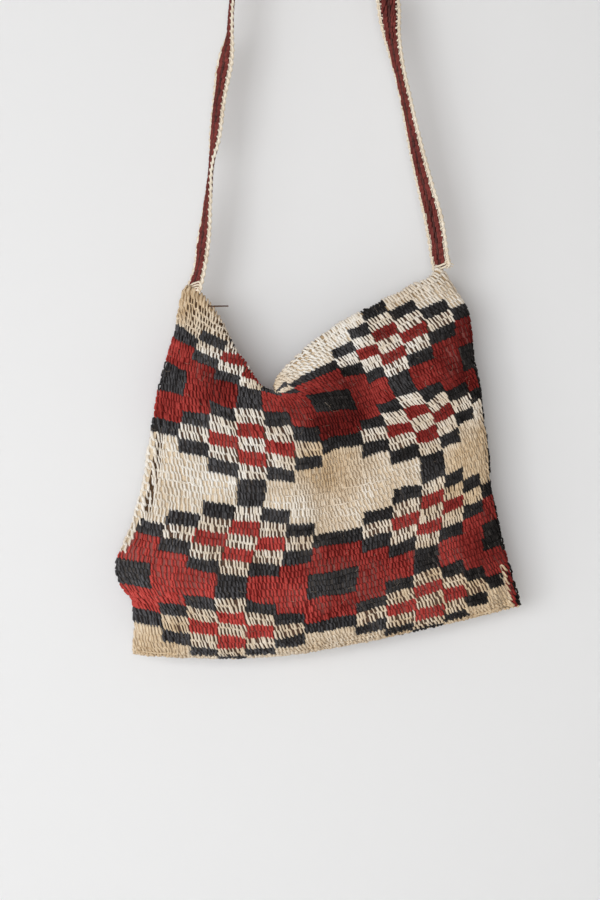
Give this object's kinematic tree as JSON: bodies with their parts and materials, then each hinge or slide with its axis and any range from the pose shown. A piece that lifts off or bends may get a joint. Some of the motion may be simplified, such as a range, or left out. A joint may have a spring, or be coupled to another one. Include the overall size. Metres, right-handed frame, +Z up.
{
  "type": "looped fibre handbag",
  "caption": "Soft shoulder bag looped from plant fibre, with checked bands and diamonds, a slouched open mouth and a long flat looped strap, hanging from the middle of its strap.",
  "frame": {"origin": "the point under the middle of the strap where the bag hangs on a peg", "axes": "+Z up, +Y from the patterned front towards the back, +X to the right as seen from the front"},
  "size_m": [0.3676, 0.0441, 1.0226],
  "materials": {
    "pouch": "matte looped plant-fibre twine in natural cream, red and charcoal",
    "strap": "matte looped plant-fibre twine, red with a charcoal middle and cream edges"
  },
  "bodies": {
    "root": {"pouch": "pouch", "strap": "strap"}
  },
  "joints": []
}
